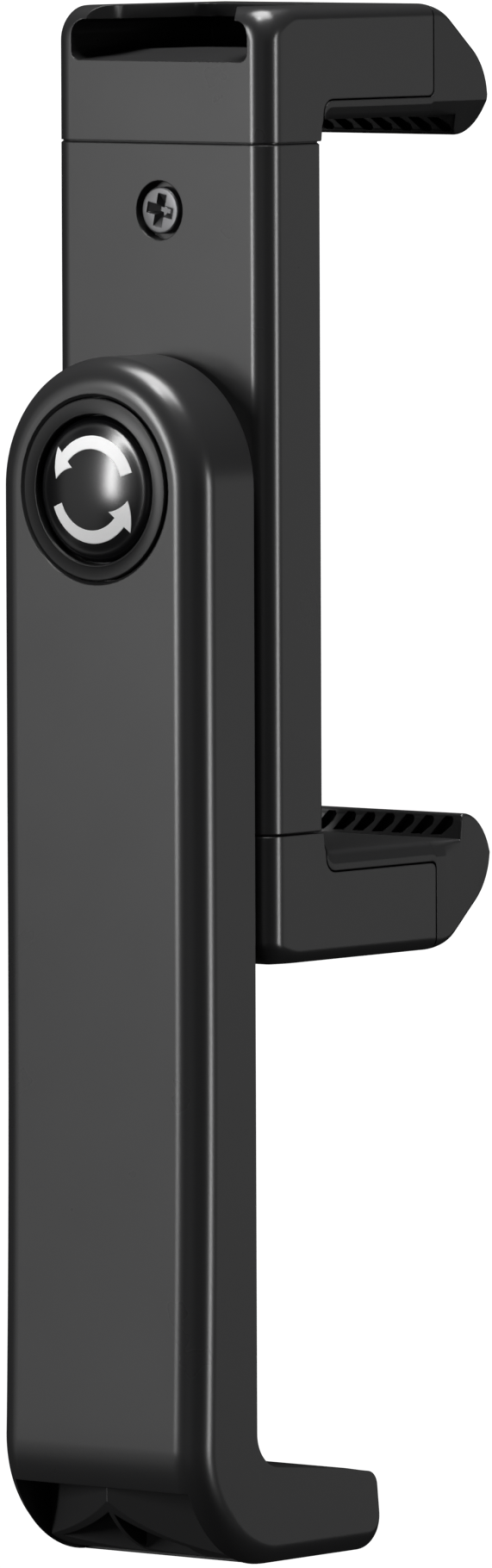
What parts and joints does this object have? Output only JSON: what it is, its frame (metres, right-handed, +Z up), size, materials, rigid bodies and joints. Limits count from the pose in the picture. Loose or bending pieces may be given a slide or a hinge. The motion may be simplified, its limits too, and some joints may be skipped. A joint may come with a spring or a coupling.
{
  "type": "phone clamp head",
  "caption": "L-shaped arm carrying a rotating, spring-loaded phone clamp with padded hooked jaws and an accessory shoe on top; the foot takes a tripod screw.",
  "frame": {"origin": "bottom centre of the whole object's bounding box, in the plane of the foot's flat underside", "axes": "+Z up along the arm; +X across the width; -Y is the back, with the round cap, and the jaws and the foot reach towards +Y"},
  "size_m": [0.023, 0.0384, 0.1285],
  "materials": {
    "black_plastic": "fine matte grain",
    "satin_plastic": "satin",
    "gloss_plastic": "high gloss",
    "rubber": "matte soft rubber",
    "black_steel": "blackened",
    "spring_steel": "drawn wire",
    "brass": "turned",
    "white_plastic": "moulded low-friction plastic"
  },
  "bodies": {
    "arm": {"arm_shell": "black_plastic", "arm_inner_cover": "black_plastic", "arm_cover_screw_lower": "black_steel", "arm_cover_screw_upper": "black_steel", "foot_core": "black_plastic", "thread_insert": "brass", "cap_ring": "satin_plastic", "cap_dome": "gloss_plastic"},
    "clamp": {"clamp_body": "black_plastic", "front_cover": "black_plastic", "cover_screw_lower": "black_steel", "cover_screw_upper": "black_steel", "backrest_pad": "rubber", "upper_jaw": "black_plastic", "upper_jaw_pad": "rubber", "jaw_screw": "black_steel", "pivot_screw": "black_steel", "flat_washer": "black_steel", "spring_washer": "spring_steel", "friction_disc": "white_plastic", "pivot_nut": "black_steel", "extension_spring_left": "spring_steel", "extension_spring_right": "spring_steel", "spring_pin_upper_left": "black_steel", "spring_pin_upper_right": "black_steel"},
    "lower_jaw_slider": {"lower_jaw": "black_plastic", "lower_jaw_pad": "rubber", "spring_pin_lower_left": "black_steel", "spring_pin_lower_right": "black_steel"}
  },
  "joints": [
    {"name": "clamp_rotation", "type": "hinge", "parent": "arm", "child": "clamp", "pos_m": [0, -0.01046, 0.089], "axis": [0, 1, 0], "continuous": true},
    {"name": "lower_jaw_slide", "type": "slide", "parent": "clamp", "child": "lower_jaw_slider", "axis": [0, 0, -1], "range_m": [0, 0.03], "stiffness_N_per_m": 250, "springref_m": -0.015, "deforming": ["extension_spring_left", "extension_spring_right"]}
  ]
}
